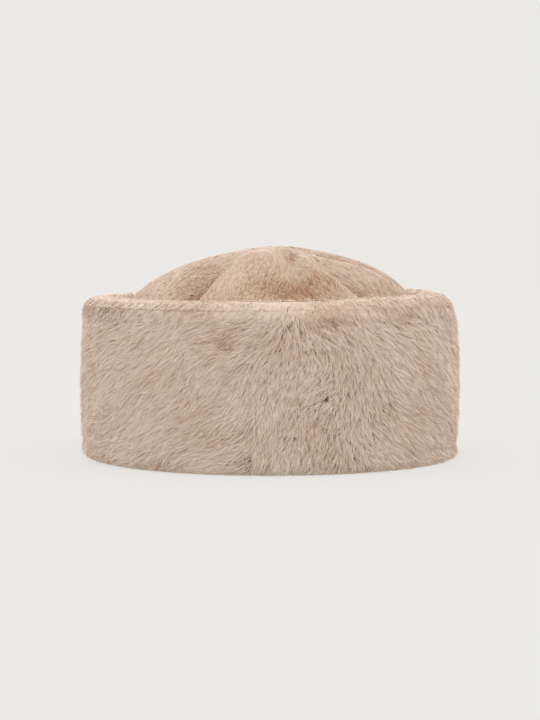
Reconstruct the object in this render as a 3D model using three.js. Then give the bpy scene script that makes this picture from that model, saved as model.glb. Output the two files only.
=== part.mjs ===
// Fur pillbox hat: a deep fur band, turned up and rolled at its top edge, round a soft cap whose low crown
// has slumped into folds. Millimetres, +Z up. The hat stands on the foot of its band, centred on the origin,
// and its front faces -Y. Every outer face is the surface that the tips of the pile make.
import * as THREE from 'three';

// Driving dimensions
const HEAD_RADIUS = 90;          // head opening, for a head of about 57 cm round
const CAP_WALL = 3;              // cloth and flattened pile of the cap behind the band
const CAP_FOOT_Z = 4;            // lower edge of the cap, tucked up inside the band
const SEAT_GAP = 0.3;            // between the cap and the band sewn round it

const BAND_RADIUS = 118.5;       // over the pile, at the ends of the upright wall
const BAND_BULGE = 1.2;          // how much further the wall stands out at mid height
const FOOT_RADIUS = 111.5;       // outer edge of the flat foot
const FOOT_CORNER_RISE = 14;     // height of the rounded lower corner
const FOOT_BEVEL = 1;            // at the inner edge of the foot
const RIM_HEIGHT = 102.6;        // top of the rolled edge
const RIDGE_RADIUS = 105.5;      // where the rolled edge is highest
const ROLL_DROP_OUT = 16;        // height of the roll on its outer side
const ROLL_DROP_IN = 11;         // height of the roll on its inner side

// The soft band doesn't stand quite true. Each of these is added at the far right and taken off at the far left.
const RIM_TILT = 1.5;            // to the height of the rim
const ROLL_WIDENING = 3.5;       // to the breadth of the roll's outer side
const ROLL_DEEPENING = 5;        // to the height of the roll's outer side
const CORNER_TIGHTENING = 4;     // taken off the lower corner's height at the right, added at the left
const BAND_WAVES = [
  { turns: 2, rise: 0.5, phase: 0.4 },
  { turns: 5, rise: 0.5, phase: 1.9 },
];

// The pile lies in combed strips down the band, straight at the front and swinging out towards either side.
const STRIPS = 42;
const STRIP_RISE = 1.6;          // from the hollow between two strips to the back of a strip
const STRIP_SWING = 0.3;         // in radians, how far a strip swings round on its way down to the foot

const CROWN_TOP_Z = 133;         // over the pile
const SHOULDER_Z = 86;           // where the crown turns into the upright cap wall
const CROWN_WALL = 9;            // cloth and standing pile of the crown
const DOME_POWER = 1.7;          // below 2 the dome is more pointed than an ellipsoid
const SLOUCH = 4.2;              // how far the crown has slumped to the right
const SLOUCH_POWER = 6;          // how late the slump dies away towards the shoulder
const FOLD_FADE_START = 78;      // the folds die away from this radius
const FOLD_FADE_END = 92;        // to this one, where the band holds the cap round

// Folds of the crown, seen from above, one row each: where a fold starts and ends, how far its line bows to the
// left of that, how far it rises (a ridge) or sinks (a valley), and how far it spreads to either side of its line.
// Left and right are those of someone walking from its start to its end.
const CROWN_FOLDS = [
  { fold: 'front left valley', fromX: -18, fromY: -30, toX: -58, toY: -74, bow: 2, rise: -14, left: 8, right: 11 },
  { fold: 'front left ridge', fromX: -14, fromY: -16, toX: -42, toY: -82, bow: 4, rise: 5, left: 18, right: 6 },
  { fold: 'front hollow', fromX: 8, fromY: -52, toX: 12, toY: -92, bow: 0, rise: -6, left: 22, right: 20 },
  { fold: 'gather', fromX: 11, fromY: -20, toX: 13, toY: -32, bow: 0, rise: -2, left: 6, right: 6 },
  { fold: 'middle notch', fromX: 9, fromY: -26, toX: 13, toY: -56, bow: 0, rise: -7, left: 6, right: 5 },
  { fold: 'middle bump', fromX: -4, fromY: -36, toX: 2, toY: -60, bow: 0, rise: 4, left: 6, right: 18 },
  { fold: 'right ridge', fromX: 12, fromY: -30, toX: 48, toY: -76, bow: -3, rise: 6, left: 6, right: 9 },
  { fold: 'right valley', fromX: 20, fromY: -38, toX: 70, toY: -64, bow: -4, rise: -9, left: 8, right: 7 },
  { fold: 'upper right ridge', fromX: 14, fromY: -26, toX: 84, toY: -28, bow: -17, rise: 5, left: 6, right: 7 },
  { fold: 'upper right valley', fromX: 18, fromY: -18, toX: 84, toY: -13, bow: -12, rise: -7, left: 9, right: 7 },
  { fold: 'back right valley', fromX: 14, fromY: 6, toX: 46, toY: 78, bow: 4, rise: -4, left: 12, right: 12 },
  { fold: 'back left valley', fromX: -6, fromY: 2, toX: -66, toY: 50, bow: 5, rise: -4, left: 12, right: 12 },
];
const INSIDE_SOFTENING = 1.6;       // the folds spread this much wider on the inside of the crown
const FOLD_GROWTH = [-0.15, 0.4];   // shares of a fold's length between which it grows to its full rise
const FOLD_END = [0.95, 1.3];       // and between which it runs out

// Counts that set how fine the faces are.
const CROWN_SEGMENTS = 105;
const CROWN_RINGS = 21;
const INSIDE_RINGS = 9;
const EDGES_PER_STRIP = 3;       // the hollow beside a strip and the two edges of its back
const WALL_STEPS = 6;
const CORNER_STEPS = 3;
const ROLL_STEPS = 8;

const { smoothstep, clamp } = THREE.MathUtils;

function ringOf(count, pointAt) {
  return Array.from({ length: count }, (_, index) => pointAt(index / count * 2 * Math.PI, index));
}

function pointRound(radius, angle, z) {
  return new THREE.Vector3(radius * Math.cos(angle), radius * Math.sin(angle), z);
}

// Two triangles for each cell between two neighbouring rings of as many points. They face outwards where ring A
// lies above ring B on the outside of the hat.
function stitch(triangles, ringA, ringB, count) {
  for (let index = 0; index < count; index++) {
    const next = (index + 1) % count;
    triangles.push(ringA + index, ringB + index, ringB + next, ringA + index, ringB + next, ringA + next);
  }
}

function geometryOf(points, triangles) {
  const geometry = new THREE.BufferGeometry().setFromPoints(points);
  geometry.setIndex(triangles);
  geometry.computeVertexNormals();
  return geometry;
}

// Closed outline of the band along the back of a strip or the hollow beside it, from the inner edge of the foot
// outwards, up the wall, over the roll and down inside the hat.
function bandOutline(angle, index) {
  const rightward = Math.cos(angle);
  const rim = RIM_HEIGHT + RIM_TILT * rightward;
  const ridge = RIDGE_RADIUS - ROLL_WIDENING * rightward;
  const wallTop = rim - ROLL_DROP_OUT - ROLL_DEEPENING * rightward;
  const cornerTop = FOOT_CORNER_RISE - CORNER_TIGHTENING * rightward;
  const inner = HEAD_RADIUS + CAP_WALL + SEAT_GAP;
  const wave = BAND_WAVES.reduce((sum, { turns, rise, phase }) => sum + rise * Math.sin(turns * angle + phase), 0);
  const relief = index % EDGES_PER_STRIP === 0 ? -STRIP_RISE / 2 : STRIP_RISE / 2;
  const outer = BAND_RADIUS + wave + relief;
  const swung = (z) => angle + STRIP_SWING * rightward * (1 - z / rim);

  const outline = [pointRound(inner + FOOT_BEVEL, angle, 0), pointRound(FOOT_RADIUS, swung(0), 0)];
  for (let step = 1; step < CORNER_STEPS; step++) {
    const turn = step / CORNER_STEPS * Math.PI / 2;
    const z = cornerTop * (1 - Math.cos(turn));
    outline.push(pointRound(FOOT_RADIUS + (outer - FOOT_RADIUS) * Math.sin(turn), swung(z), z));
  }
  for (let step = 0; step < WALL_STEPS; step++) {
    const up = step / WALL_STEPS;
    const z = cornerTop + (wallTop - cornerTop) * up;
    outline.push(pointRound(outer + BAND_BULGE * Math.sin(Math.PI * up), swung(z), z));
  }
  for (let step = 0; step <= ROLL_STEPS; step++) {
    const turn = step / ROLL_STEPS * Math.PI;
    const outside = turn < Math.PI / 2;
    const reach = outside ? outer - ridge : ridge - inner;
    const foot = outside ? wallTop : rim - ROLL_DROP_IN;
    const z = foot + (rim - foot) * Math.sin(turn);
    outline.push(pointRound(ridge + reach * Math.cos(turn), outside ? swung(z) : angle, z));
  }
  outline.push(pointRound(inner, angle, FOOT_BEVEL));
  return outline;
}

// A closed tube round the hat: a ring through each point of the outlines, the last joined to the first.
function bandGeometry() {
  const edges = STRIPS * EDGES_PER_STRIP;
  const outlines = ringOf(edges, bandOutline);
  const rings = outlines[0].map((_, step) => outlines.map((outline) => outline[step]));
  const triangles = [];
  rings.forEach((_, step) => {
    stitch(triangles, ((step + 1) % rings.length) * edges, step * edges, edges);
  });
  return geometryOf(rings.flat(), triangles);
}

// Rise or fall of the crown's cloth at a point seen from above, from all of its folds, spread wider by a factor.
function foldRise(x, y, softening) {
  let total = 0;
  for (const { fromX, fromY, toX, toY, bow, rise, left, right } of CROWN_FOLDS) {
    const run = new THREE.Vector2(toX - fromX, toY - fromY);
    const point = new THREE.Vector2(x - fromX, y - fromY);
    const along = run.dot(point) / run.lengthSq();
    const middle = clamp(along, 0, 1);
    const across = run.cross(point) / run.length() - bow * 4 * middle * (1 - middle);
    const spread = softening * (across > 0 ? left : right);
    const grown = smoothstep(along, ...FOLD_GROWTH) * (1 - smoothstep(along, ...FOLD_END));
    total += rise * grown * Math.exp(-((across / spread) ** 2));
  }
  return total * (1 - smoothstep(Math.hypot(x, y), FOLD_FADE_START, FOLD_FADE_END));
}

// A folded dome, some drop below the top of the hat: its middle point, and its rings from there out to the upright
// wall below it.
function foldedDome(ringCount, wallRadius, drop, softening) {
  const pointAt = (radius, angle) => {
    const point = pointRound(radius, angle, SHOULDER_Z - drop);
    point.x += SLOUCH * (1 - (radius / wallRadius) ** SLOUCH_POWER);
    point.z += (CROWN_TOP_Z - SHOULDER_Z) * Math.sqrt(1 - (radius / wallRadius) ** DOME_POWER);
    point.z += foldRise(point.x, point.y, softening);
    return point;
  };
  const rings = [];
  for (let ring = 1; ring <= ringCount; ring++) {
    const radius = wallRadius * Math.sin(ring / ringCount * Math.PI / 2);
    rings.push(ringOf(CROWN_SEGMENTS, (angle) => pointAt(radius, angle)));
  }
  return { middle: pointAt(0, 0), rings };
}

// The cap: down the outside of the crown and of its wall, round the lower edge and up the inside.
function crownGeometry() {
  const wallRadius = HEAD_RADIUS + CAP_WALL;
  const outside = foldedDome(CROWN_RINGS, wallRadius, 0, 1);
  const inside = foldedDome(INSIDE_RINGS, HEAD_RADIUS, CROWN_WALL, INSIDE_SOFTENING);
  const edge = [wallRadius, HEAD_RADIUS].map(
    (radius) => ringOf(CROWN_SEGMENTS, (angle) => pointRound(radius, angle, CAP_FOOT_Z)),
  );
  const rings = [...outside.rings, ...edge, ...inside.rings.reverse()];
  const points = [...rings.flat(), outside.middle, inside.middle];
  const [outsideMiddle, insideMiddle] = [points.length - 2, points.length - 1];
  const firstOf = (ring) => ring * CROWN_SEGMENTS;
  const triangles = [];
  for (let ring = 1; ring < rings.length; ring++) {
    stitch(triangles, firstOf(ring - 1), firstOf(ring), CROWN_SEGMENTS);
  }
  for (let index = 0; index < CROWN_SEGMENTS; index++) {
    const next = (index + 1) % CROWN_SEGMENTS;
    const last = firstOf(rings.length - 1);
    triangles.push(outsideMiddle, index, next, insideMiddle, last + next, last + index);
  }
  return geometryOf(points, triangles);
}

function piece(name, geometry, colour) {
  const mesh = new THREE.Mesh(geometry, new THREE.MeshStandardMaterial({ color: colour, roughness: 0.95 }));
  mesh.name = name;
  return mesh;
}

const hat = new THREE.Group();
hat.add(piece('band', bandGeometry(), '#bfa58e'));
hat.add(piece('crown', crownGeometry(), '#c9ab90'));

export default hat;
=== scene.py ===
"""Dresses a packed fur pillbox hat: backing cloth, combed pile in locks, and a plain pale studio."""

import math

import bmesh
import bpy
import numpy as np
from bpy.props import FloatProperty, FloatVectorProperty, IntProperty, PointerProperty
from mathutils import Euler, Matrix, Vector, kdtree
from mathutils.bvhtree import BVHTree


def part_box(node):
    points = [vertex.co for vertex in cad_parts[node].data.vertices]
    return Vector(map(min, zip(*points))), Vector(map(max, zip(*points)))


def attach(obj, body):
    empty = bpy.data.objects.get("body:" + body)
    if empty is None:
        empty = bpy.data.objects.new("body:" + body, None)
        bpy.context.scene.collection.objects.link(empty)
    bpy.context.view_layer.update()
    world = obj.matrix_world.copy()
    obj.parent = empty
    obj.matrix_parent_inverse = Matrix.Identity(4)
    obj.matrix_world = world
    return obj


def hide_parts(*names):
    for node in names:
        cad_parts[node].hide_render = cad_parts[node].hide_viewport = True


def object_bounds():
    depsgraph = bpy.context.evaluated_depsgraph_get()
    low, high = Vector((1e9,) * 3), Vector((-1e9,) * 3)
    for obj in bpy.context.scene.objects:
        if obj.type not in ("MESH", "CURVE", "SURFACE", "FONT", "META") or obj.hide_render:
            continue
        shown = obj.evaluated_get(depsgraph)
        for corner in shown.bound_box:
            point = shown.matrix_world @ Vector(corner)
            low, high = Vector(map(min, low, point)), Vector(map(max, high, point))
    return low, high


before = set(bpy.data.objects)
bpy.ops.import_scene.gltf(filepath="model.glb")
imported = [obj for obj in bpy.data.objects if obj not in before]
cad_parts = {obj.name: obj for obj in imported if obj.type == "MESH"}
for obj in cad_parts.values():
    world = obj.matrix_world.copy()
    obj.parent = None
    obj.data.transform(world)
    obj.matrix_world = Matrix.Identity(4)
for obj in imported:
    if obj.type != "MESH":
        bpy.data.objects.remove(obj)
CAD_BOX = [list(corner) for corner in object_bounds()]

bl_info = {
    "name": "Fur Pillbox Hat",
    "version": (1, 0, 0),
    "blender": (4, 5, 0),
    "location": "View3D > Sidebar > Hat",
    "description": "Backing cloth, combed pile and a plain pale studio for a fur pillbox hat",
    "category": "Add Mesh",
}

MM = 0.001
CM2 = 0.0001
BODY = "root"
PILE_MAP = "OFBake"             # the pile's map: tone across, root to tip upwards
BAND_RADIUS = (CAD_BOX[1][0] - CAD_BOX[0][0]) / 2 / MM      # in millimetres
BAND_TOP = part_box("band")[1].z

# Which way the pile is combed on the band, by degrees to the right of the front: degrees that it leans to
# the right of straight down near the foot, half way up and under the rim, how far single locks stray from
# that, and how long the strands are against the mean.
NAP = [
    dict(around=-180, low=0, middle=0, high=0, stray=11, length=1),
    dict(around=-135, low=-34, middle=-32, high=-34, stray=11, length=1.05),
    dict(around=-90, low=-60, middle=-58, high=-60, stray=10, length=1.12),
    dict(around=-60, low=-62, middle=-59, high=-62, stray=10, length=1.15),
    dict(around=-45, low=-56, middle=-52, high=-60, stray=10, length=1.15),
    dict(around=-30, low=-50, middle=-42, high=-52, stray=10, length=1.15),
    dict(around=-15, low=-66, middle=-42, high=-68, stray=11, length=1.12),
    dict(around=-8, low=-60, middle=-30, high=-74, stray=12, length=1.1),
    dict(around=-5.4, low=-54, middle=-24, high=-72, stray=13, length=1.05),
    dict(around=-4.2, low=-12, middle=-16, high=-70, stray=14, length=1),
    dict(around=5, low=-24, middle=-14, high=-30, stray=15, length=0.92),
    dict(around=12, low=-14, middle=-38, high=22, stray=16, length=0.9),
    dict(around=19, low=-24, middle=-36, high=33, stray=16, length=0.9),
    dict(around=26, low=18, middle=-18, high=36, stray=16, length=0.92),
    dict(around=34, low=40, middle=20, high=48, stray=13, length=0.95),
    dict(around=42, low=54, middle=43, high=54, stray=12, length=1),
    dict(around=52, low=56, middle=58, high=57, stray=10, length=1.05),
    dict(around=90, low=56, middle=56, high=56, stray=10, length=1.1),
    dict(around=135, low=30, middle=30, high=30, stray=11, length=1.05),
]
NAP_HEIGHTS = dict(low=20, middle=53, high=86)      # millimetres above the floor

# Hollows where the pile stands apart and its roots show, and where its strands are painted darker as shade:
# degrees to the right of the front, then millimetres, and how deep they are against the deepest.
HOLLOWS_AND_SHADE = [
    dict(around=-48, height=92, wide=3, tall=1.4, deep=1),
    dict(around=-40.5, height=92, wide=4, tall=1.4, deep=1),
    dict(around=10.4, height=76.5, wide=5, tall=2.5, deep=0.6),
    dict(around=9.5, height=57, wide=3.5, tall=2, deep=0.6),
    dict(around=9, height=48, wide=3, tall=2, deep=0.6),
    dict(around=-12, height=79, wide=4, tall=2.5, deep=0.6),
    dict(around=-7, height=11, wide=4, tall=2.5, deep=0.6),
    dict(around=-10, height=80, wide=13, tall=7, deep=0.25),
    dict(around=-11, height=26, wide=13, tall=7, deep=0.25),
    dict(around=15.5, height=92, wide=13, tall=5, deep=0.5),
    dict(around=45, height=94, wide=11, tall=3, deep=0.5),
    dict(around=50, height=37, wide=10, tall=9, deep=0.35),
    dict(around=52, height=12, wide=14, tall=4, deep=0.3),
]

# Hollows of the crown's pile in the same way, also painted darker as shade, by millimetres to the right and
# to the back of the middle.
CROWN_HOLLOWS_AND_SHADE = [
    dict(right=13, back=-74, wide=26, tall=15, deep=1),
    dict(right=15, back=-36, wide=5, tall=11, deep=0.8),
    dict(right=-42, back=-60, wide=14, tall=14, deep=0.7),
]

# How a strand lies.
STRAND_STRAY = math.radians(11)     # single strands turn this far from their lock
NAP_WAVE = math.radians(7)          # and the combing itself wavers this far
NAP_WAVELENGTH = 26 * MM
CLING = 0.85                        # share of the way that a strand's tip follows the cloth under it
STRAND_ROLL = 1.1                   # radians that a ribbon may roll about its length
STRAND_SHAPE = 0.4                  # how much a strand's own facing shows in its shading
LEAST_RUN = 0.3                     # least share of its length that a strand runs along the cloth
FLOOR_GAP = 0.2 * MM

# How uneven the pile is: the shortest and the longest, the lowest and the highest, against the mean.
LOCK_LENGTHS = (0.85, 1.1)
STRAND_LENGTHS = (0.85, 1.08)
LOCK_HEIGHTS = (0.82, 1.02)
STRAND_HEIGHTS = (0.8, 1.04)
LOCK_DRAWS = (0.5, 1.3)             # how far strands draw towards their lock
COARSE_RISE = 0.06                  # coarse strands stand this much higher
LOOSE_RISE = 0.3                    # and a few loose ones up to this much
LOOSE_FEW = 24                      # the larger, the fewer of them
COARSE_WIDTHS = (0.75, 0.9)         # width of the finest strand, and what the coarsest adds to it

# What changes in a hollow and where the pile lies calm, as shares.
HOLLOW_SHORT = 0.45                 # strands in a hollow are this much shorter
HOLLOW_LOW = 0.4                    # and this much lower
CALM_EVEN = 0.7                     # calm strands are this much more even in height
CALM_HEIGHT = 0.9                   # about this height
CALM_ROLL = 0.3                     # they roll this much less
CALM_WIDE = 0.4                     # are this much wider
CALM_SMOOTH = 0.7                   # and show this much less of their own facing

# How dark or pale the strands are: 0 is the darkest tone and 1 the palest.
TONES = ("#C39F7C", "#F8F1EA", "#FFFFFF")   # tints of the darkest, the middle and the palest strands
TONE_MIDDLE = 0.5
TONE_LIMITS = (0.03, 0.97)
TONE_COARSE = 0.3                   # coarse strands are paler
TONE_LOCK = 0.08                    # whole locks differ by this much
TONE_STRAND = 0.17                  # and single strands by this much
TONE_RIPPLE = 0.06                  # and wide patches by this much
TONE_WAVELENGTH = 34 * MM
HOLLOW_PAINTED_SHADE = 0.45                  # hollows are painted darker, as shade
CALM_PAINTED_SHADE = 0.08                    # and calm pile a little: painted shade that tones down the light on the up-facing rim and crown top
TONE_ALIKE = 0.6                    # share of the differences that is lost where the pile lies calm
ROOT_SHOWS = 0.02                   # where on the way from root to tip the colour starts in a hollow
HOLLOW_ROOT_SHADE = 0.2                   # how much further up it starts outside one, so the darker root colour in a hollow is painted shade
CALM_PAINTED_LIGHT = 0.3                     # and where the pile lies calm: painted light that makes the up-facing rim and crown top paler
MAP_TOP = 0.98                      # a tip's place up the map
MAP_CORNERS = ((0, 0), (0.01, 0.55), (-0.01, 0.55), (0, 1))     # a strand's corners: across, and root to tip
LIGHT_THROUGH = 0.35                # share of the light that shines through a strand
SHEEN_TINT = "#FFFAF6"

# The backing cloth.
STITCH_ROW = 3 * MM
WAVE_PITCH = 20                     # radians to the metre in a plain wave pattern
BLOTCH = 9 * MM
MERGE = 0.01 * MM                   # corners of the solid that are closer than this are one
EVENING = (0.5, -0.53)              # one round of smoothing: in, and back out so that nothing shrinks
BAND_ROUNDS = 6
CROWN_ROUNDS = 8
FOLD_ROUNDS = 20                    # how widely the crown is evened out to tell its valleys from its ridges
CLOSING = 0.6                       # share of a narrow fold's depth that the pile of its two sides closes

# The band's edges. A turn says how far up, down or inwards the surface faces where a change over the edge
# begins and where it is complete, as the part of the normal that points that way.
RIM_FLAT = 0.32                     # share of the pile's depth that it loses where it lies flat over the rim
FOOT_FLAT = 0.6                     # and where it turns in under the lower edge
INNER_FLAT = 0.6                    # and on the inner side
RIM_TURN = (0.1, 0.9)               # for the cloth, and for the calm of its pile
RIM_PILE_TURN = (-0.15, 0.65)       # for the depth of the pile
RIM_COMB_TURN = (0.3, 0.9)          # for its lean
RIM_CROWD_TURN = (0.1, 0.8)         # for its density
FOOT_TURN = (0.2, 0.9)              # for the cloth and its pile
INNER_TURN = (0.3, 0.9)             # for the cloth
INNER_PILE_TURN = (0.2, 0.8)        # for the depth of the pile
FOOT_FACE = -0.98                   # the flat foot faces down further than this
FOOT_BARE = -0.95                   # and no pile is rooted on what faces down further than this
RIM_RISE = 0.12                     # how much deeper the pile over the rim is than the room left for it
SHOULDER = 0.2                      # share of the pile's depth that rounds off the rim's edges
RIM_CROWD = 0.8                     # how much denser the pile is over the rim
RIM_STRAIGHT = 0.6                  # share of the lean that the pile loses over the rim
PARTING = 0.2                       # how far inwards the rim's surface faces where its pile parts
PARTING_STRAY = 0.2                 # and how unevenly
BAND_WALL = 15 * MM                 # what lies further in from the outside than this is the inner side
INNER_CLOTH = 34 * MM               # the pile can lie this far down the inner side
INNER_THIN = 10 * MM                # it is rooted thinly below this
INNER_BARE = 18 * MM                # and not at all below this
INNER_DENSITY = 0.6                 # how thinly
FOOT_HOLLOW_AND_SHADE = 0.5                   # the pile is a little hollow close to the floor, and painted darker there as shade
FOOT_SHADE_HEIGHT = 4              # up to this many millimetres

# The crown's pile.
CROWN_MIDDLE = (6 * MM, -10 * MM)   # the combing meets here, seen from above
WHORL = 24 * MM                     # how far from there the pile turns into a whorl
WHORL_TURN = 1.1                    # radians that it turns
WHORL_EYE = 8                       # how small the still eye of the whorl is
WHORL_FLAT = 0.35                   # share of the pile's depth that it loses there
CROWN_FOOT = 87 * MM                # the band hides what is lower
CROWN_STEEP = 0.03                  # what faces up less than this carries no pile
CROWN_TURN = (0.02, 0.3)            # how far up the cloth faces where it drops to make room for the pile
CROWN_THIN = 0.6                    # least share of the pile's depth on a steep side
RING = 6 * MM                       # valleys and ridges are told apart in rings of this width
VALLEY_SHADE = (0.4, 5)                   # millimetres that a valley's pile lies low where its painted shade begins and where it is full
RIDGE = (-1, 2)                     # millimetres that a ridge's pile lies high where it calms
LEVEL = (0.88, 0.97)                # how far up the level top faces where its pile calms
CROWN_CALM = 0.8                    # how calm it gets there

# The studio, in metres and degrees.
PAPER_FLAT = 2.6                    # radius of the flat floor
PAPER_SWEEP = 1.2                   # radius of the curve up to the backdrop
PAPER_RINGS = (0.1, 0.25, 0.5, 1)   # rings of the flat floor, as shares of its radius
PAPER_TURNS = 96
PAPER_STEPS = 16
PAPER_REACH = (0.25, 0.8)           # how far from the middle the paper by the hat ends and the far one begins
PAPER_LIGHT = 1.55                  # light that falls on the paper by the hat, against the paper's own
PAPER_FAR_LIGHT = 1.35              # and far from it
PAPER_FAR_SHARE = 0.03              # share of the far paper's light that a shadow can take away
LIGHT_DISTANCE = 2.4
LIGHT_SIZE = 1.4
LIGHT_RISE = 32                     # degrees above the floor of the lights round the hat
SENSOR = 36                         # millimetres

SECTORS = ("front", "right", "back", "left")


def linear(hex_colour):
    """Linear red, green and blue of an sRGB hex colour."""
    parts = [int(hex_colour[i:i + 2], 16) / 255 for i in (1, 3, 5)]
    return tuple(p / 12.92 if p <= 0.04045 else ((p + 0.055) / 1.055) ** 2.4 for p in parts)


class BandSettings(bpy.types.PropertyGroup):
    """The doubled fur band that stands round the cap."""

    pile_depth: FloatProperty(
        name="Pile depth", description="From the backing cloth to the tips of the combed pile",
        default=6.5 * MM, min=MM, unit="LENGTH")
    strand_length: FloatProperty(
        name="Strand length", description="Length of a strand of the pile",
        default=10.5 * MM, min=MM, unit="LENGTH")
    strand_width: FloatProperty(
        name="Strand width", description="Width of a strand at its widest",
        default=0.42 * MM, min=0.01 * MM, unit="LENGTH")
    density: FloatProperty(
        name="Density", description="Strands on a square centimetre", default=330, min=1)
    lock_size: IntProperty(
        name="Lock size", description="Strands that lean together into one lock", default=5, min=1)
    gather: FloatProperty(
        name="Gather", description="How far the tips of a lock draw together",
        default=0.3, min=0, max=1, subtype="FACTOR")
    root_colour: FloatVectorProperty(
        name="Root colour", description="Pile at the backing cloth",
        default=linear("#AE8B6C"), subtype="COLOR", min=0, max=1)
    body_colour: FloatVectorProperty(
        name="Body colour", description="Pile at half its length",
        default=linear("#E0CEBD"), subtype="COLOR", min=0, max=1)
    tip_colour: FloatVectorProperty(
        name="Tip colour", description="Tips of the pile",
        default=linear("#F5ECE3"), subtype="COLOR", min=0, max=1)


class CrownSettings(bpy.types.PropertyGroup):
    """The soft crown of the cap, gathered into folds."""

    pile_depth: FloatProperty(
        name="Pile depth", description="From the backing cloth straight up to the tips of the pile",
        default=3 * MM, min=MM, unit="LENGTH")
    strand_length: FloatProperty(
        name="Strand length", description="Length of a strand of the pile",
        default=5.8 * MM, min=MM, unit="LENGTH")
    strand_width: FloatProperty(
        name="Strand width", description="Width of a strand at its widest",
        default=0.3 * MM, min=0.01 * MM, unit="LENGTH")
    density: FloatProperty(
        name="Density", description="Strands on a square centimetre", default=500, min=1)
    lock_size: IntProperty(
        name="Lock size", description="Strands that lean together into one lock", default=4, min=1)
    stray: FloatProperty(
        name="Stray", description="How far single locks stray from the combing",
        default=math.radians(16), subtype="ANGLE")
    gather: FloatProperty(
        name="Gather", description="How far the tips of a lock draw together",
        default=0.15, min=0, max=1, subtype="FACTOR")
    root_colour: FloatVectorProperty(
        name="Root colour", description="Pile at the backing cloth",
        default=linear("#A97C56"), subtype="COLOR", min=0, max=1)
    body_colour: FloatVectorProperty(
        name="Body colour", description="Pile at half its length",
        default=linear("#D9C0A6"), subtype="COLOR", min=0, max=1)
    tip_colour: FloatVectorProperty(
        name="Tip colour", description="Tips of the pile",
        default=linear("#F0E7DE"), subtype="COLOR", min=0, max=1)
    cloth_size: FloatProperty(
        name="Cloth size", description="Across the round of cloth that the cap is gathered from",
        default=330 * MM, min=MM, unit="LENGTH")


class StudioSettings(bpy.types.PropertyGroup):
    """The plain pale studio, its light and its camera."""

    paper_colour: FloatVectorProperty(
        name="Paper colour", description="Floor and backdrop as the camera sees them",
        default=linear("#ECEAE6"), subtype="COLOR", min=0, max=1)
    paper_share: FloatProperty(
        name="Paper shade", description="Share of the floor's light that a shadow can take away",
        default=0.12, min=0, max=1, subtype="FACTOR")
    fill_strength: FloatProperty(
        name="Fill strength", description="Soft light from all round", default=1.2, min=0)
    top_power: FloatProperty(
        name="Top power", description="Wide soft light overhead", default=9, min=0, unit="POWER")
    side_power: FloatProperty(
        name="Side power", description="Each of the soft lights left, right and behind",
        default=14, min=0, unit="POWER")
    front_power: FloatProperty(
        name="Front power", description="Soft light above the camera", default=24, min=0, unit="POWER")
    camera_distance: FloatProperty(
        name="Camera distance", description="In front of the middle of the hat",
        default=1.5, min=0.1, unit="LENGTH")
    camera_height: FloatProperty(
        name="Camera height", description="Above the floor", default=0.164, min=0.01, unit="LENGTH")
    camera_dip: FloatProperty(
        name="Camera dip", description="How far the camera looks down",
        default=math.radians(3.94), subtype="ANGLE")
    camera_lens: FloatProperty(
        name="Focal length", description="Of a camera with a 36 mm sensor",
        default=119, min=1, unit="CAMERA")


class HatSettings(bpy.types.PropertyGroup):
    """Everything about the hat that a user would change."""

    band: PointerProperty(type=BandSettings)
    crown: PointerProperty(type=CrownSettings)
    studio: PointerProperty(type=StudioSettings)


# Small tools

def add_node(tree, kind, inputs=None, stops=None, **settings):
    """A new node with its settings, its inputs (values, or sockets to link) and the stops of its ramp."""
    made = tree.nodes.new(kind)
    for name, value in settings.items():
        setattr(made, name, value)
    for socket, value in (inputs or {}).items():
        if isinstance(value, bpy.types.NodeSocket):
            tree.links.new(value, made.inputs[socket])
        else:
            made.inputs[socket].default_value = value
    for index, (place, colour) in enumerate(stops or []):
        ramp = made.color_ramp.elements
        stop = ramp[index] if index < len(ramp) else ramp.new(place)
        stop.position = place
        stop.color = (*colour, 1)
    return made


def new_material(name):
    """An empty material and its node tree."""
    material = bpy.data.materials.new(name)
    material.use_nodes = True
    material.node_tree.nodes.clear()
    return material, material.node_tree


def smoothstep(value, start, end):
    """0 before start, 1 after end, and a soft rise between them."""
    share = np.clip((value - start) / (end - start), 0, 1)
    return share * share * (3 - 2 * share)


def unit(vectors):
    """The vectors at length one."""
    return vectors / np.maximum(np.linalg.norm(vectors, axis=1, keepdims=True), 1e-12)


def turned(directions, normals, angles):
    """Directions in a surface turned round its normals, to the left as seen from outside."""
    aside = np.cross(normals, directions)
    return directions * np.cos(angles)[:, None] + aside * np.sin(angles)[:, None]


def ripple(places, wavelength, rng, waves=7):
    """Soft noise from about -1 to 1 with hills about half a wavelength across."""
    total = np.zeros(len(places))
    for direction in unit(rng.normal(size=(waves, 3))):
        pitch = 2 * math.pi / (wavelength * rng.uniform(0.7, 1.4))
        total += np.sin(places @ direction * pitch + rng.uniform(0, 2 * math.pi))
    return total / math.sqrt(waves)


def relaxed(places, edges, steps):
    """Places drawn towards the mean of their neighbours, once a step. A step below 0 pushes them away."""
    both = np.concatenate([edges, edges[:, ::-1]])
    count = np.bincount(both[:, 0], minlength=len(places))[:, None]
    for step in steps:
        total = np.zeros_like(places)
        np.add.at(total, both[:, 0], places[both[:, 1]])
        places = places + step * (total / count - places)
    return places


def link_piece(name, mesh, material):
    """A piece of the hat with its material, riding on the hat's body."""
    mesh.materials.append(material)
    piece = bpy.data.objects.new(name, mesh)
    bpy.context.scene.collection.objects.link(piece)
    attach(piece, BODY)
    return piece


# Materials

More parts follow.
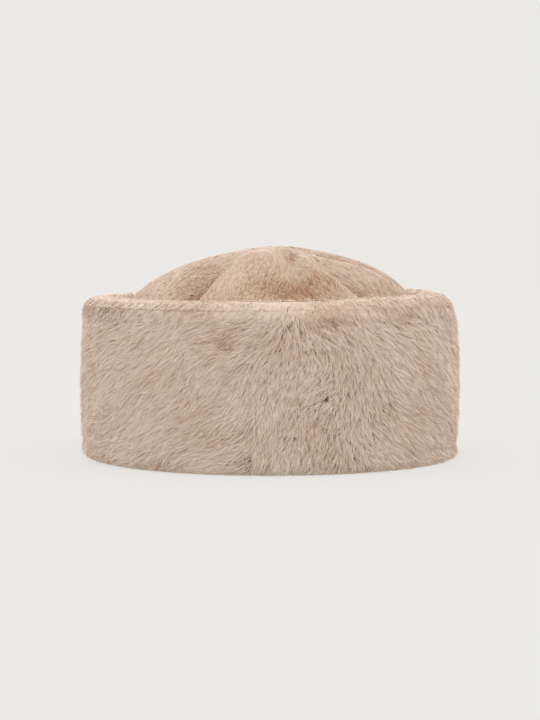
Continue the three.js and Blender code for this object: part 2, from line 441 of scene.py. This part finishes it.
def plush_pile(name, settings):
    """Sheared plush: fine matt fibres, brown and dense at the root, pale and thin at the tip, with a soft
    glow where the surface turns away. Whole locks are a little darker or lighter at random, and the map
    also paints shade into hollows and light onto calm pile."""
    material, tree = new_material(name)
    place = add_node(tree, "ShaderNodeUVMap", uv_map=PILE_MAP)
    parts = add_node(tree, "ShaderNodeSeparateXYZ", {0: place.outputs[0]})
    along = add_node(tree, "ShaderNodeValToRGB", {0: parts.outputs["Y"]}, [
        (0, settings.root_colour), (0.5, settings.body_colour), (1, settings.tip_colour)])
    dark, middle, pale = (linear(tint) for tint in TONES)
    tone = add_node(tree, "ShaderNodeValToRGB", {0: parts.outputs["X"]}, [
        (0, dark), (TONE_MIDDLE, middle), (1, pale)])
    colour = add_node(tree, "ShaderNodeVectorMath", {0: along.outputs[0], 1: tone.outputs[0]},
                      operation="MULTIPLY")
    shader = add_node(tree, "ShaderNodeBsdfPrincipled", {
        "Base Color": colour.outputs[0], "Roughness": 0.8, "Specular IOR Level": 0.2,
        "Sheen Weight": 0.5, "Sheen Roughness": 0.45, "Sheen Tint": (*linear(SHEEN_TINT), 1)})
    through = add_node(tree, "ShaderNodeBsdfTranslucent", {"Color": colour.outputs[0]})
    both = add_node(tree, "ShaderNodeMixShader", {
        0: LIGHT_THROUGH, 1: shader.outputs[0], 2: through.outputs[0]})
    add_node(tree, "ShaderNodeOutputMaterial", {0: both.outputs[0]})
    return material


def knitted_backing(name, settings):
    """Knitted cloth that the pile is held in: dull brown with rows of stitches, seen inside the hat and as a
    dark ground between the locks. Its rows are drawn 3 mm apart, coarse enough to show."""
    material, tree = new_material(name)
    place = add_node(tree, "ShaderNodeTexCoord")
    rows = add_node(tree, "ShaderNodeTexWave", {
        "Vector": place.outputs["Object"], "Scale": 2 * math.pi / WAVE_PITCH / STITCH_ROW,
        "Distortion": 1.5, "Detail": 2}, wave_type="BANDS", bands_direction="Z")
    blotches = add_node(tree, "ShaderNodeTexNoise", {
        "Vector": place.outputs["Object"], "Scale": 1 / BLOTCH, "Detail": 3})
    shade = add_node(tree, "ShaderNodeMath", {0: rows.outputs["Fac"], 1: blotches.outputs["Fac"]},
                     operation="MULTIPLY")
    root = settings.root_colour
    colour = add_node(tree, "ShaderNodeValToRGB", {0: shade.outputs[0]}, [
        (0, [0.7 * c for c in root]), (0.6, root)])
    bump = add_node(tree, "ShaderNodeBump", {
        "Height": rows.outputs["Fac"], "Distance": STITCH_ROW / 10, "Strength": 0.6})
    shader = add_node(tree, "ShaderNodeBsdfPrincipled", {
        "Base Color": colour.outputs[0], "Roughness": 0.9, "Normal": bump.outputs[0]})
    add_node(tree, "ShaderNodeOutputMaterial", {0: shader.outputs[0]})
    return material


def studio_paper(settings):
    """Seamless white paper, lit so evenly that its colour hardly changes, with a soft shade by the hat."""
    material, tree = new_material("Studio paper")
    place = add_node(tree, "ShaderNodeTexCoord")
    away = add_node(tree, "ShaderNodeVectorMath", {0: place.outputs["Object"]}, operation="LENGTH")
    near, far = settings.paper_share, PAPER_FAR_SHARE
    reach = {"Value": away.outputs["Value"], "From Min": PAPER_REACH[0], "From Max": PAPER_REACH[1]}
    share = add_node(tree, "ShaderNodeMapRange", {**reach, "To Min": near, "To Max": far})
    glow = add_node(tree, "ShaderNodeMapRange", {
        **reach, "To Min": 1 - PAPER_LIGHT * near, "To Max": 1 - PAPER_FAR_LIGHT * far})
    colour = add_node(tree, "ShaderNodeVectorMath", {0: settings.paper_colour, "Scale": share.outputs[0]},
                      operation="SCALE")
    shader = add_node(tree, "ShaderNodeBsdfPrincipled", {
        "Base Color": colour.outputs[0], "Roughness": 1, "Specular IOR Level": 0,
        "Emission Color": (*settings.paper_colour, 1), "Emission Strength": glow.outputs[0]})
    add_node(tree, "ShaderNodeOutputMaterial", {0: shader.outputs[0]})
    return material


# Backing cloth

def softened_solid(node, rounds):
    """A copy of a solid of the frame with merged corners, its relief smoothed out without shrinking it."""
    made = bmesh.new()
    made.from_mesh(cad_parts[node].data)
    bmesh.ops.remove_doubles(made, verts=made.verts, dist=MERGE)
    made.verts.index_update()
    places = np.array([vert.co for vert in made.verts])
    edges = np.array([[vert.index for vert in edge.verts] for edge in made.edges])
    for vert, place in zip(made.verts, relaxed(places, edges, EVENING * rounds)):
        vert.co = place
    made.normal_update()
    return made


def finish_backing(made, name, material, node):
    """The backing cloth as a smooth piece that stands for its solid."""
    mesh = bpy.data.meshes.new(name)
    made.to_mesh(mesh)
    made.free()
    mesh.shade_smooth()
    piece = link_piece(name, mesh, material)
    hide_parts(node)
    return piece


# Pile

class Cloth:
    """The faces of a backing cloth that carry pile: the pile is rooted in them and lies over them."""

    def __init__(self, piece, wanted):
        mesh = piece.data
        mesh.calc_loop_triangles()
        corners = np.array([triangle.vertices for triangle in mesh.loop_triangles])
        self.places = np.array([vert.co for vert in mesh.vertices])
        self.normals = np.array([vert.normal for vert in mesh.vertices])
        first, second, third = self.places[corners].transpose(1, 0, 2)
        flat = np.cross(second - first, third - first)
        kept = wanted((first + second + third) / 3, unit(flat))
        self.corners = corners[kept]
        self.area = np.linalg.norm(flat[kept], axis=1) / 2
        self.upward = unit(flat[kept])[:, 2]
        self.tree = BVHTree.FromPolygons(self.places.tolist(), self.corners.tolist())
        self.edges = np.array([edge.vertices for edge in mesh.edges])

    def scatter(self, density, rng):
        """Spots scattered at the density of each face: their faces, and their shares of the faces' second
        and third corners."""
        amount = self.area / CM2 * density
        count = int(amount.sum())
        faces = rng.choice(len(amount), count, p=amount / amount.sum())
        second, third = rng.random((2, count))
        over = second + third > 1
        return faces, np.where(over, 1 - second, second), np.where(over, 1 - third, third)

    def read(self, values, spots):
        """Values of the corners, read at some spots."""
        faces, second, third = spots
        shares = np.stack([1 - second - third, second, third], axis=1)
        return (values[self.corners[faces]] * shares.reshape(-1, 3, *[1] * (values.ndim - 1))).sum(axis=1)

    def at(self, spots):
        """Places and smooth normals of some spots."""
        return self.read(self.places, spots), unit(self.read(self.normals, spots))

    def sunk(self, spots, rounds):
        """How far some spots lie in valleys of the cloth, or with a minus sign up on its ridges."""
        even = relaxed(self.places, self.edges, EVENING[:1] * rounds)
        return self.read(((even - self.places) * self.normals).sum(axis=1), spots)

    def under(self, points):
        """The places on the cloth nearest to some points, and the normals there."""
        found = [self.tree.find_nearest(point) for point in points]
        faces = np.array([hit[2] for hit in found])
        first, second, third = self.places[self.corners[faces]].transpose(1, 0, 2)
        one, two = second - first, third - first
        way = np.array([hit[0] for hit in found]) - first
        pairs = ((one, one), (one, two), (two, two), (way, one), (way, two))
        one_one, one_two, two_two, way_one, way_two = ((u * v).sum(axis=1) for u, v in pairs)
        whole = one_one * two_two - one_two * one_two
        second_share = (two_two * way_one - one_two * way_two) / whole
        third_share = (one_one * way_two - one_two * way_one) / whole
        return self.at((faces, second_share, third_share))


def grow_pile(cloth, roots, normals, naps, stray, depth, length, hollow_and_shade, calm_and_painted_light, settings, rng):
    """Strands on their roots, each a tapered ribbon that rises from the cloth and then lies over it along its
    nap. They lean together into locks.

    Stray is how far a strand's lock may turn from the nap. The hollow is how far the pile stands apart there,
    where its strands are also painted darker as shade, and the calm how smooth it lies, where they are also
    painted paler as lit and then toned a little down, both from 0 to 1. The depth is a function of places on
    the cloth and of their normals. Returns the strands' corners, their shading normals and their places on
    the map."""
    count = len(roots)
    locks = max(1, count // settings.lock_size)
    tree = kdtree.KDTree(locks)
    for index, root in enumerate(roots[:locks]):
        tree.insert(root, index)
    tree.balance()
    lock = np.array([tree.find(root)[1] for root in roots])

    angle = rng.normal(0, 1, locks)[lock] * stray * (1 - calm_and_painted_light) + rng.normal(0, STRAND_STRAY, count)
    angle += NAP_WAVE * ripple(roots, NAP_WAVELENGTH, rng)
    nap = turned(naps, normals, angle)
    coarse = rng.random(count) ** 3
    length = length * rng.uniform(*LOCK_LENGTHS, locks)[lock] * rng.uniform(*STRAND_LENGTHS, count)
    length *= 1 - HOLLOW_SHORT * hollow_and_shade
    uneven = rng.uniform(*LOCK_HEIGHTS, locks)[lock] * rng.uniform(*STRAND_HEIGHTS, count)
    uneven *= 1 + COARSE_RISE * coarse + LOOSE_RISE * rng.random(count) ** LOOSE_FEW
    raised = (uneven + CALM_EVEN * calm_and_painted_light * (CALM_HEIGHT - uneven)) * (1 - HOLLOW_LOW * hollow_and_shade)
    lift = raised * depth(roots, normals)
    run = np.sqrt(np.maximum(length ** 2 - lift ** 2, (LEAST_RUN * length) ** 2))
    pull = settings.gather * rng.uniform(*LOCK_DRAWS, count) * (1 - calm_and_painted_light)

    # The middle and the tip: shares of the run, of the height and of the draw into the lock.
    bends = (
        dict(along=0.36 + 0.1 * calm_and_painted_light, height=0.78 + 0.12 * calm_and_painted_light, drawn=0.4),
        dict(along=1, height=1 - 0.05 * calm_and_painted_light, drawn=1),
    )
    points, facing = [roots], [normals]
    for bend in bends:
        free = roots + nap * (bend["along"] * run)[:, None]
        free += (bend["drawn"] * pull)[:, None] * (free[lock] - free)
        laid, upward = cloth.under(free)
        held = laid + (1 - CLING) * (free - laid)
        points.append(held + upward * (bend["height"] * raised * depth(laid, upward))[:, None])
        facing.append(upward)
    root, middle, tip = points

    along = unit(tip - root)
    side = unit(np.cross(nap, normals))
    roll = (rng.uniform(-STRAND_ROLL, STRAND_ROLL, count) * (1 - CALM_ROLL * calm_and_painted_light))[:, None]
    side = side * np.cos(roll) + np.cross(side, along) * np.sin(roll)
    finest, added = COARSE_WIDTHS
    half = settings.strand_width / 2 * ((finest + added * coarse) * (1 + CALM_WIDE * calm_and_painted_light))[:, None] * side
    corners = np.stack([root, middle + half, middle - half, tip], axis=1)
    corners[:, :, 2] = np.maximum(corners[:, :, 2], FLOOR_GAP)

    own = np.cross(side, along)
    own *= (STRAND_SHAPE * (1 - CALM_SMOOTH * calm_and_painted_light))[:, None]
    shading = np.stack([unit(facing[i] + own) for i in (0, 1, 1, 2)], axis=1)

    tone = TONE_COARSE * coarse
    tone = tone + rng.normal(0, TONE_LOCK, locks)[lock] + rng.normal(0, TONE_STRAND, count)
    tone = TONE_MIDDLE + tone * (1 - TONE_ALIKE * calm_and_painted_light) + TONE_RIPPLE * ripple(roots, TONE_WAVELENGTH, rng)
    # Hollows are painted darker as shade, and calm pile a little darker, which tones down the light on
    # up-facing pile.
    tone = np.clip(tone - HOLLOW_PAINTED_SHADE * hollow_and_shade - CALM_PAINTED_SHADE * calm_and_painted_light, *TONE_LIMITS)
    # The colour starts lower up the strand in hollows, as painted shade, and higher where the pile is calm,
    # as painted light.
    painted_colour_start = ROOT_SHOWS + HOLLOW_ROOT_SHADE * (1 - hollow_and_shade) + CALM_PAINTED_LIGHT * calm_and_painted_light
    aside, rising = np.array(MAP_CORNERS).T
    places = np.empty((count, 4, 2))
    places[:, :, 0] = tone[:, None] + aside
    places[:, :, 1] = painted_colour_start[:, None] + (MAP_TOP - painted_colour_start)[:, None] * rising
    return corners, shading, places


def pile_piece(name, strands, material):
    """One joined mesh of strands, two triangles each, with their shading normals and their map."""
    corners, shading, places = strands
    count = len(corners)
    faces = np.array([[0, 1, 2], [2, 1, 3]])
    triangles = (np.arange(count)[:, None, None] * 4 + faces).reshape(-1, 3).astype(np.int32)
    mesh = bpy.data.meshes.new(name)
    mesh.vertices.add(4 * count)
    mesh.vertices.foreach_set("co", corners.astype(np.float32).ravel())
    mesh.loops.add(triangles.size)
    mesh.loops.foreach_set("vertex_index", triangles.ravel())
    mesh.polygons.add(len(triangles))
    mesh.polygons.foreach_set("loop_start", np.arange(0, triangles.size, 3, dtype=np.int32))
    layer = mesh.uv_layers.new(name=PILE_MAP)
    layer.data.foreach_set("uv", places.reshape(-1, 2)[triangles.ravel()].astype(np.float32).ravel())
    mesh.update()
    mesh.shade_smooth()
    mesh.normals_split_custom_set_from_vertices(shading.reshape(-1, 3))
    return link_piece(name, mesh, material)


def round_the_band(places):
    """Degrees to the right of the front, and height in millimetres."""
    return np.degrees(np.arctan2(places[:, 0], -places[:, 1])), places[:, 2] / MM


def inwardness(places, normals):
    """How far some normals face the hat's middle: 1 straight at it, -1 straight away from it."""
    return -(unit(places[:, :2]) * normals[:, :2]).sum(axis=1)


def nearness(around, height, spot):
    """A spot's depth at its middle on the band, falling off to 0 over its width and height."""
    across = (around - spot["around"] + 180) % 360 - 180
    across = np.radians(across) * BAND_RADIUS / spot["wide"]
    return spot["deep"] * np.exp(-across ** 2 - ((height - spot["height"]) / spot["tall"]) ** 2)


def comb(around, column):
    """A column of the combing table, at degrees to the right of the front."""
    return np.interp(around, [row["around"] for row in NAP], [row[column] for row in NAP], period=360)


def band_nap(roots, normals, rng):
    """Which way the band's pile is combed: from a parting inside the rim down both sides, and aslant."""
    around, height = round_the_band(roots)
    low, middle, high = (comb(around, part) for part in ("low", "middle", "high"))
    up = smoothstep(height, NAP_HEIGHTS["low"], NAP_HEIGHTS["middle"])
    lean = low + (middle - low) * up
    lean += (high - middle) * smoothstep(height, NAP_HEIGHTS["middle"], NAP_HEIGHTS["high"])
    lean *= 1 - RIM_STRAIGHT * smoothstep(normals[:, 2], *RIM_COMB_TURN)
    turn = np.radians(around)
    rightward = np.stack([np.cos(turn), np.sin(turn), np.zeros(len(turn))], axis=1)
    rightward = unit(rightward - normals * (rightward * normals).sum(axis=1)[:, None])
    parted = inwardness(roots, normals) > rng.normal(PARTING, PARTING_STRAY, len(roots))
    down = np.cross(rightward, normals) * np.where(parted, -1, 1)[:, None]
    return turned(down, normals, np.radians(lean))


def crown_depth(settings, places):
    """How deep the crown's pile is, straight up. It lies flatter about the whorl."""
    near = (np.linalg.norm(places[:, :2] - CROWN_MIDDLE, axis=1) / WHORL) ** 2
    return settings.pile_depth * (1 - WHORL_FLAT * np.exp(-near))


def crown_nap(roots, normals):
    """Which way the crown's pile is combed: up and towards its middle, with a whorl there."""
    inward = np.array([*CROWN_MIDDLE, 0]) - roots
    inward[:, 2] = 0
    near = (np.linalg.norm(inward, axis=1) / WHORL) ** 2
    whorl = WHORL_TURN * np.exp(-near) * (1 - np.exp(-WHORL_EYE * near))
    return turned(unit(inward - normals * (inward * normals).sum(axis=1)[:, None]), normals, whorl)


# Operators

class HAT_OT_band_backing(bpy.types.Operator):
    """Makes the backing cloth of the band, a doubled roll that stands inside its pile"""

    bl_idname = "hat.band_backing"
    bl_label = "Band backing"

    def execute(self, context):
        settings = context.scene.hat.band
        made = softened_solid("band", BAND_ROUNDS)
        top = BAND_TOP - (1 - RIM_FLAT) * settings.pile_depth
        for vert in made.verts:
            inward = -vert.normal.xy.dot(vert.co.xy.normalized())
            if vert.normal.z > FOOT_FACE:
                flat = float(smoothstep(vert.normal.z, *RIM_TURN))
                under = float(smoothstep(-vert.normal.z, *FOOT_TURN))
                inset = settings.pile_depth * (1 - RIM_FLAT * flat) * (1 - FOOT_FLAT * under)
                vert.co -= vert.normal * inset * float(1 - smoothstep(inward, *INNER_TURN))
            vert.co.z = max(0, min(vert.co.z, top))
        made.normal_update()
        piece = finish_backing(made, "band_backing", knitted_backing("Knitted backing, band", settings),
                               "band")
        return {"FINISHED"}


class HAT_OT_band_pile(bpy.types.Operator):
    """Grows the band's pile, in four joined pieces round it"""

    bl_idname = "hat.band_pile"
    bl_label = "Band pile"

    def execute(self, context):
        settings = context.scene.hat.band
        rng = np.random.default_rng(11)
        backing = bpy.data.objects["band_backing"]

        def outside(centres, normals):
            rim = centres[:, 2] > BAND_TOP - INNER_CLOTH
            return (normals[:, 2] > FOOT_BARE) & ((inwardness(centres, normals) < INNER_TURN[0]) | rim)

        def depth(places, normals):
            flat = smoothstep(normals[:, 2], *RIM_PILE_TURN)
            inside = smoothstep(inwardness(places, normals), *INNER_PILE_TURN)
            shoulder = 4 * flat * (1 - flat)
            over = (1 - RIM_FLAT * flat) * (1 + RIM_RISE * flat) * (1 - SHOULDER * shoulder)
            under = smoothstep(-normals[:, 2], *FOOT_TURN)
            return settings.pile_depth * over * (1 - INNER_FLAT * inside) * (1 - FOOT_FLAT * under)

        cloth = Cloth(backing, outside)
        crowded = 1 + RIM_CROWD * smoothstep(cloth.upward, *RIM_CROWD_TURN)
        centres = cloth.places[cloth.corners].mean(axis=1)
        inside = np.hypot(centres[:, 0], centres[:, 1]) < BAND_RADIUS * MM - BAND_WALL
        crowded[inside & (centres[:, 2] < BAND_TOP - INNER_THIN)] = INNER_DENSITY
        crowded[inside & (centres[:, 2] < BAND_TOP - INNER_BARE)] = 0
        roots, normals = cloth.at(cloth.scatter(settings.density * crowded, rng))
        around, height = round_the_band(roots)
        # Hollows of the band: shorter, lower strands, painted darker as shade.
        hollow_and_shade = np.clip(sum(nearness(around, height, spot) for spot in HOLLOWS_AND_SHADE), 0, 1)
        # Close to the floor the strands are shorter and lower, and painted darker as shade.
        hollow_and_shade = np.maximum(hollow_and_shade, FOOT_HOLLOW_AND_SHADE * (1 - smoothstep(height, 0, FOOT_SHADE_HEIGHT)))
        naps = band_nap(roots, normals, rng)
        # Calm pile over the rim lies smooth, and is painted paler as lit from above, then toned a little
        # down.
        calm_and_painted_light = smoothstep(normals[:, 2], *RIM_TURN)
        stray = np.radians(comb(around, "stray"))
        length = settings.strand_length * comb(around, "length")
        strands = grow_pile(cloth, roots, normals, naps, stray, depth, length, hollow_and_shade, calm_and_painted_light, settings, rng)
        quarter = 360 / len(SECTORS)
        sector = ((around + quarter / 2) % 360 // quarter).astype(int)
        material = plush_pile("Plush pile, band", settings)
        for index, name in enumerate(SECTORS):
            chosen = sector == index
            pile_piece(f"band_pile_{name}", [part[chosen] for part in strands], material)
        return {"FINISHED"}


class HAT_OT_crown_backing(bpy.types.Operator):
    """Makes the backing cloth of the cap, gathered into the folds of the crown"""

    bl_idname = "hat.crown_backing"
    bl_label = "Crown backing"

    def execute(self, context):
        settings = context.scene.hat.crown
        made = softened_solid("crown", CROWN_ROUNDS)
        places = np.array([vert.co for vert in made.verts])
        edges = np.array([[vert.index for vert in edge.verts] for edge in made.edges])
        evened = relaxed(places, edges, EVENING[:1] * CROWN_ROUNDS)
        drops = crown_depth(settings, places).tolist()
        for vert, even, drop in zip(made.verts, evened, drops):
            fill = max(0, (Vector(even) - vert.co).dot(vert.normal))
            vert.co += CLOSING * fill * vert.normal
            vert.co.z -= drop * float(smoothstep(vert.normal.z, *CROWN_TURN))
        made.normal_update()
        finish_backing(made, "crown_backing", knitted_backing("Knitted backing, crown", settings),
                       "crown")
        return {"FINISHED"}


class HAT_OT_crown_pile(bpy.types.Operator):
    """Grows the crown's pile, in two joined pieces"""

    bl_idname = "hat.crown_pile"
    bl_label = "Crown pile"

    def execute(self, context):
        settings = context.scene.hat.crown
        rng = np.random.default_rng(23)
        backing = bpy.data.objects["crown_backing"]

        def outside(centres, normals):
            return (normals[:, 2] > CROWN_STEEP) & (centres[:, 2] > CROWN_FOOT)

        def depth(places, normals):
            return crown_depth(settings, places) * np.maximum(normals[:, 2], CROWN_THIN)

        cloth = Cloth(backing, outside)
        spots = cloth.scatter(settings.density, rng)
        roots, normals = cloth.at(spots)
        naps = crown_nap(roots, normals)
        sunk = cloth.sunk(spots, FOLD_ROUNDS) / MM
        ring = (np.hypot(roots[:, 0], roots[:, 1]) / RING).astype(int)
        sunk -= np.array([np.median(sunk[ring == index]) for index in range(ring.max() + 1)])[ring]
        # Valleys of the crown: shorter, lower strands, painted darker as shade.
        hollow_and_shade = smoothstep(sunk, *VALLEY_SHADE)
        # Listed hollows of the crown: shorter, lower strands, painted darker as shade.
        for spot in CROWN_HOLLOWS_AND_SHADE:
            right = (roots[:, 0] / MM - spot["right"]) / spot["wide"]
            back = (roots[:, 1] / MM - spot["back"]) / spot["tall"]
            hollow_and_shade = np.maximum(hollow_and_shade, spot["deep"] * np.exp(-right ** 2 - back ** 2))
        # Calm pile on ridges and the level top lies smooth, and is painted paler as lit from above, then
        # toned a little down.
        smooth = np.maximum(smoothstep(-sunk, *RIDGE), smoothstep(normals[:, 2], *LEVEL))
        calm_and_painted_light = CROWN_CALM * smooth * (1 - hollow_and_shade)
        stray = np.full(len(roots), settings.stray)
        length = np.full(len(roots), settings.strand_length)
        strands = grow_pile(cloth, roots, normals, naps, stray, depth, length, hollow_and_shade, calm_and_painted_light, settings, rng)
        material = plush_pile("Plush pile, crown", settings)
        front = roots[:, 1] < 0
        pieces = [pile_piece(f"crown_pile_{name}", [part[chosen] for part in strands], material)
                  for name, chosen in (("front", front), ("back", ~front))]
        return {"FINISHED"}


class HAT_OT_studio(bpy.types.Operator):
    """Makes the pale paper that the hat stands on, the soft light and the camera"""

    bl_idname = "hat.studio"
    bl_label = "Studio"

    def execute(self, context):
        settings = context.scene.hat.studio
        scene = context.scene
        made = bmesh.new()
        outline = [(PAPER_FLAT * share, 0) for share in PAPER_RINGS]
        outline += [(PAPER_FLAT + PAPER_SWEEP * math.sin(turn), PAPER_SWEEP * (1 - math.cos(turn)))
                    for turn in np.linspace(0, math.pi / 2, PAPER_STEPS)[1:]]
        angles = np.linspace(0, 2 * math.pi, PAPER_TURNS, endpoint=False)
        rings = [[made.verts.new((radius * math.cos(angle), radius * math.sin(angle), height))
                  for angle in angles] for radius, height in outline]
        made.faces.new(rings[0])
        for inner, outer in zip(rings, rings[1:]):
            for index in range(PAPER_TURNS):
                after = (index + 1) % PAPER_TURNS
                made.faces.new((inner[index], outer[index], outer[after], inner[after]))
        mesh = bpy.data.meshes.new("studio_paper")
        made.to_mesh(mesh)
        made.free()
        mesh.shade_smooth()
        mesh.materials.append(studio_paper(settings))
        paper = bpy.data.objects.new("studio_paper", mesh)
        scene.collection.objects.link(paper)

        scene.world = bpy.data.worlds.new("Soft fill")
        scene.world.use_nodes = True
        background = scene.world.node_tree.nodes["Background"]
        background.inputs["Color"].default_value = (*settings.paper_colour, 1)
        background.inputs["Strength"].default_value = settings.fill_strength

        lights = [("top_light", settings.top_power, 0, 90)]
        lights += [("front_light", settings.front_power, 0, LIGHT_RISE)]
        lights += [(f"side_light_{turn}", settings.side_power, turn, LIGHT_RISE) for turn in (90, 180, 270)]
        for name, power, turn, rise in lights:
            lamp = bpy.data.lights.new(name, "AREA")
            lamp.size = LIGHT_SIZE
            lamp.energy = power
            light = bpy.data.objects.new(name, lamp)
            aim = Euler((math.radians(90 - rise), 0, math.radians(turn)))
            light.rotation_euler = aim
            light.location = aim.to_matrix() @ Vector((0, 0, LIGHT_DISTANCE))
            scene.collection.objects.link(light)

        lens = bpy.data.cameras.new("camera")
        lens.lens = settings.camera_lens
        lens.sensor_width = SENSOR
        camera = bpy.data.objects.new("camera", lens)
        camera.location = (0, -settings.camera_distance, settings.camera_height)
        camera.rotation_euler = (math.pi / 2 - settings.camera_dip, 0, 0)
        scene.collection.objects.link(camera)
        scene.camera = camera
        scene.view_settings.view_transform = "Standard"
        return {"FINISHED"}


OPERATORS = (
    HAT_OT_band_backing,
    HAT_OT_band_pile,
    HAT_OT_crown_backing,
    HAT_OT_crown_pile,
    HAT_OT_studio,
)


class HAT_PT_panel(bpy.types.Panel):
    """The hat's sizes and colours, and what makes its pieces"""

    bl_idname = "HAT_PT_panel"
    bl_label = "Fur Pillbox Hat"
    bl_space_type = "VIEW_3D"
    bl_region_type = "UI"
    bl_category = "Hat"

    def draw(self, context):
        settings = context.scene.hat
        for group in (settings.band, settings.crown, settings.studio):
            box = self.layout.box()
            for name in group.__annotations__:
                box.prop(group, name)
        for operator in OPERATORS:
            self.layout.operator(operator.bl_idname)


CLASSES = (BandSettings, CrownSettings, StudioSettings, HatSettings, *OPERATORS, HAT_PT_panel)


def register():
    for item in CLASSES:
        bpy.utils.register_class(item)
    bpy.types.Scene.hat = PointerProperty(type=HatSettings)


def unregister():
    del bpy.types.Scene.hat
    for item in reversed(CLASSES):
        bpy.utils.unregister_class(item)


def main():
    register()
    bpy.ops.hat.band_backing()
    bpy.ops.hat.band_pile()
    bpy.ops.hat.crown_backing()
    bpy.ops.hat.crown_pile()
    bpy.ops.hat.studio()


if __name__ == "__main__":
    main()
